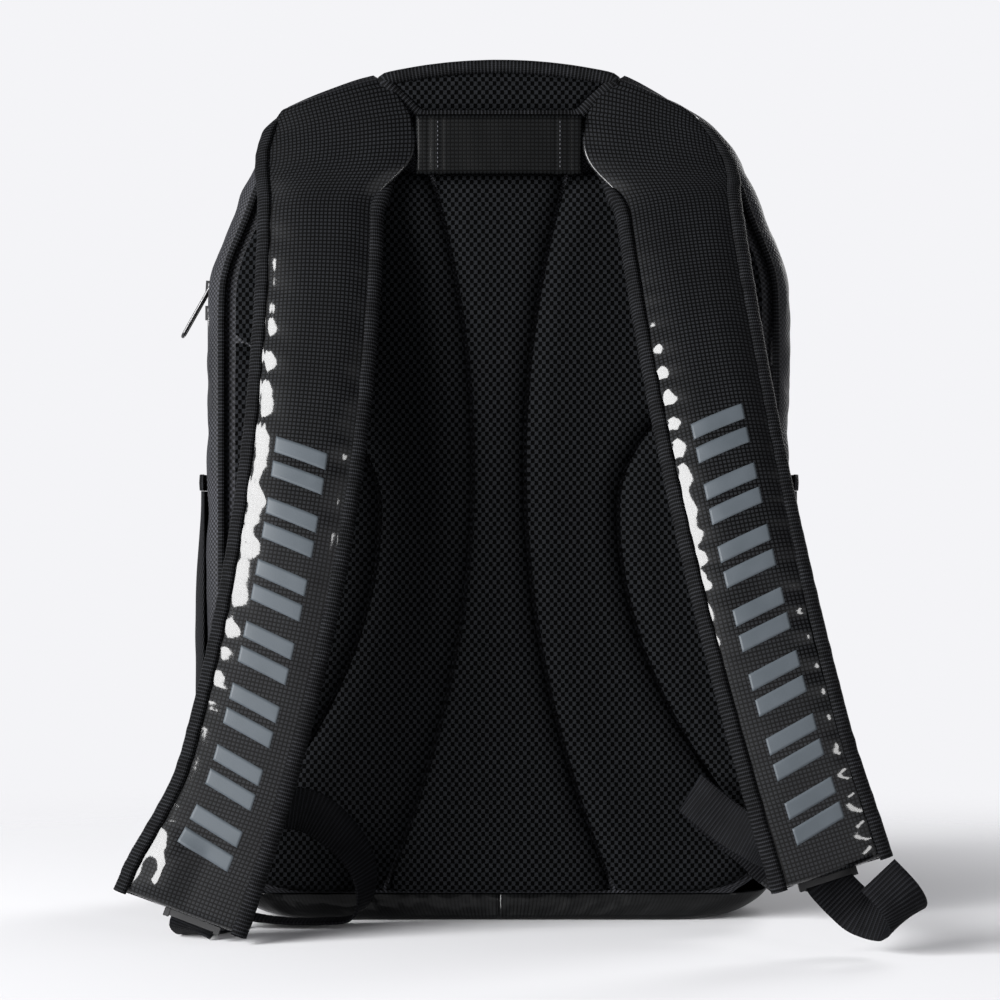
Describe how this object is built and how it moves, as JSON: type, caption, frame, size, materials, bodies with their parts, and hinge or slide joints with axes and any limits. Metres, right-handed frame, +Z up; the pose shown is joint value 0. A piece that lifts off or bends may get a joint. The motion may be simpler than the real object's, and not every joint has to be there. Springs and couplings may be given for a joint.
{
  "type": "racket backpack",
  "caption": "Soft racket backpack with padded shoulder straps on ladder locks, mesh back pads, grab handle, fold-down zipped front, open racket sleeve and bottle pockets.",
  "frame": {"origin": "middle of the flat face the bag stands on", "axes": "+Z up, -Y towards the wearer's back, X across the bag"},
  "size_m": [0.4306, 0.3559, 0.501],
  "materials": {
    "air_mesh": "open spacer mesh",
    "laminate": "clear film over a fine square grid cloth",
    "shell_nylon": "matt dobby nylon",
    "foam": "closed-cell foam",
    "stiff_sheet": "stiff plastic sheet",
    "lining_cloth": "light woven lining",
    "grosgrain": "ribbed edge tape",
    "stretch_mesh": "stretch knit",
    "webbing": "ribbed webbing",
    "zip_tape": "woven tape with nylon coil",
    "buckle_plastic": "moulded acetal",
    "zip_metal": "black painted zinc"
  },
  "bodies": {
    "bag": {"rear_panel": "shell_nylon", "frame_sheet": "stiff_sheet", "back_foam": "foam", "rear_lining": "lining_cloth", "centre_back_pad": "air_mesh", "left_back_pad": "air_mesh", "right_back_pad": "air_mesh", "left_hip_pad": "air_mesh", "right_hip_pad": "air_mesh", "neck_pad": "air_mesh", "neck_binding": "grosgrain", "rear_piping": "grosgrain", "side_gusset": "shell_nylon", "base_panel": "laminate", "base_board": "stiff_sheet", "lower_front_panel": "shell_nylon", "rear_zip_tape": "zip_tape", "gusset_lining": "lining_cloth", "laptop_sleeve": "lining_cloth", "left_yoke": "laminate", "right_yoke": "laminate", "handle_tabs": "laminate", "left_bottle_pocket": "stretch_mesh", "right_bottle_pocket": "stretch_mesh", "bottle_pocket_hems": "grosgrain", "left_lower_webbing": "webbing", "right_lower_webbing": "webbing", "webbing_anchors": "laminate"},
    "left_strap": {"left_strap_cover": "laminate", "left_strap_foam": "foam", "left_strap_lining": "air_mesh", "left_strap_binding": "grosgrain", "left_lock_loop": "webbing"},
    "right_strap": {"right_strap_cover": "laminate", "right_strap_foam": "foam", "right_strap_lining": "air_mesh", "right_strap_binding": "grosgrain", "right_lock_loop": "webbing"},
    "left_buckle": {"left_ladder_lock": "buckle_plastic", "left_webbing_tail": "webbing"},
    "right_buckle": {"right_ladder_lock": "buckle_plastic", "right_webbing_tail": "webbing"},
    "grab_handle": {"handle_cover": "laminate", "handle_core": "foam"},
    "front_flap": {"flap_walls": "shell_nylon", "flap_face": "shell_nylon", "flap_lining": "lining_cloth", "front_zip_tape": "zip_tape", "racket_sleeve": "laminate", "sleeve_hem": "grosgrain", "accessory_pocket": "shell_nylon", "accessory_zip": "zip_tape"},
    "upper_zip_slider": {"upper_slider": "zip_metal"},
    "upper_zip_puller": {"upper_puller": "zip_metal"},
    "lower_zip_slider": {"lower_slider": "zip_metal"},
    "lower_zip_puller": {"lower_puller": "zip_metal"},
    "pocket_zip_slider": {"pocket_slider": "zip_metal"},
    "pocket_zip_puller": {"pocket_puller": "zip_metal"}
  },
  "joints": [
    {"name": "left_strap_swing", "type": "hinge", "parent": "bag", "child": "left_strap", "pos_m": [-0.102, -0.1118, 0.4245], "axis": [-1, 0, 0], "range_deg": [-5, 25], "deforming": ["left_lower_webbing"]},
    {"name": "left_lock_pivot", "type": "hinge", "parent": "left_strap", "child": "left_buckle", "pos_m": [-0.16294, -0.17073, 0.03107], "axis": [0.9353, -0.1122, -0.3355], "range_deg": [0, 40]},
    {"name": "right_strap_swing", "type": "hinge", "parent": "bag", "child": "right_strap", "pos_m": [0.102, -0.1118, 0.4245], "axis": [-1, 0, 0], "range_deg": [-5, 25], "deforming": ["right_lower_webbing"]},
    {"name": "right_lock_pivot", "type": "hinge", "parent": "right_strap", "child": "right_buckle", "pos_m": [0.17179, -0.21571, 0.0599], "axis": [0.9512, 0.1141, 0.2867], "range_deg": [0, 40]},
    {"name": "handle_lift", "type": "hinge", "parent": "bag", "child": "grab_handle", "pos_m": [0, -0.097, 0.467], "axis": [-1, 0, 0], "range_deg": [0, 60]},
    {"name": "flap_open", "type": "hinge", "parent": "bag", "child": "front_flap", "pos_m": [0, 0.08612, 0.072], "axis": [-1, 0, 0], "range_deg": [0, 75]},
    {"name": "upper_slider_travel", "type": "hinge", "parent": "bag", "child": "upper_zip_slider", "pos_m": [-0.047, 0.0187, 0.3665], "axis": [0, 1, 0], "range_deg": [0, 55]},
    {"name": "upper_puller_swing", "type": "hinge", "parent": "upper_zip_slider", "child": "upper_zip_puller", "pos_m": [-0.17647, 0.0187, 0.37428], "axis": [0, 1, 0], "range_deg": [0, 100]},
    {"name": "lower_slider_travel", "type": "slide", "parent": "bag", "child": "lower_zip_slider", "axis": [0, 0, -1], "range_m": [0, 0.25]},
    {"name": "lower_puller_swing", "type": "hinge", "parent": "lower_zip_slider", "child": "lower_zip_puller", "pos_m": [-0.1767, 0.0187, 0.359], "axis": [0, 1, 0], "range_deg": [0, 35]},
    {"name": "pocket_slider_travel", "type": "slide", "parent": "front_flap", "child": "pocket_zip_slider", "axis": [-1, 0, 0], "range_m": [0, 0.165]},
    {"name": "pocket_puller_swing", "type": "hinge", "parent": "pocket_zip_slider", "child": "pocket_zip_puller", "pos_m": [0.086, 0.10772, 0.24918], "axis": [0, 0.0496, -0.9988], "range_deg": [0, 140]}
  ]
}
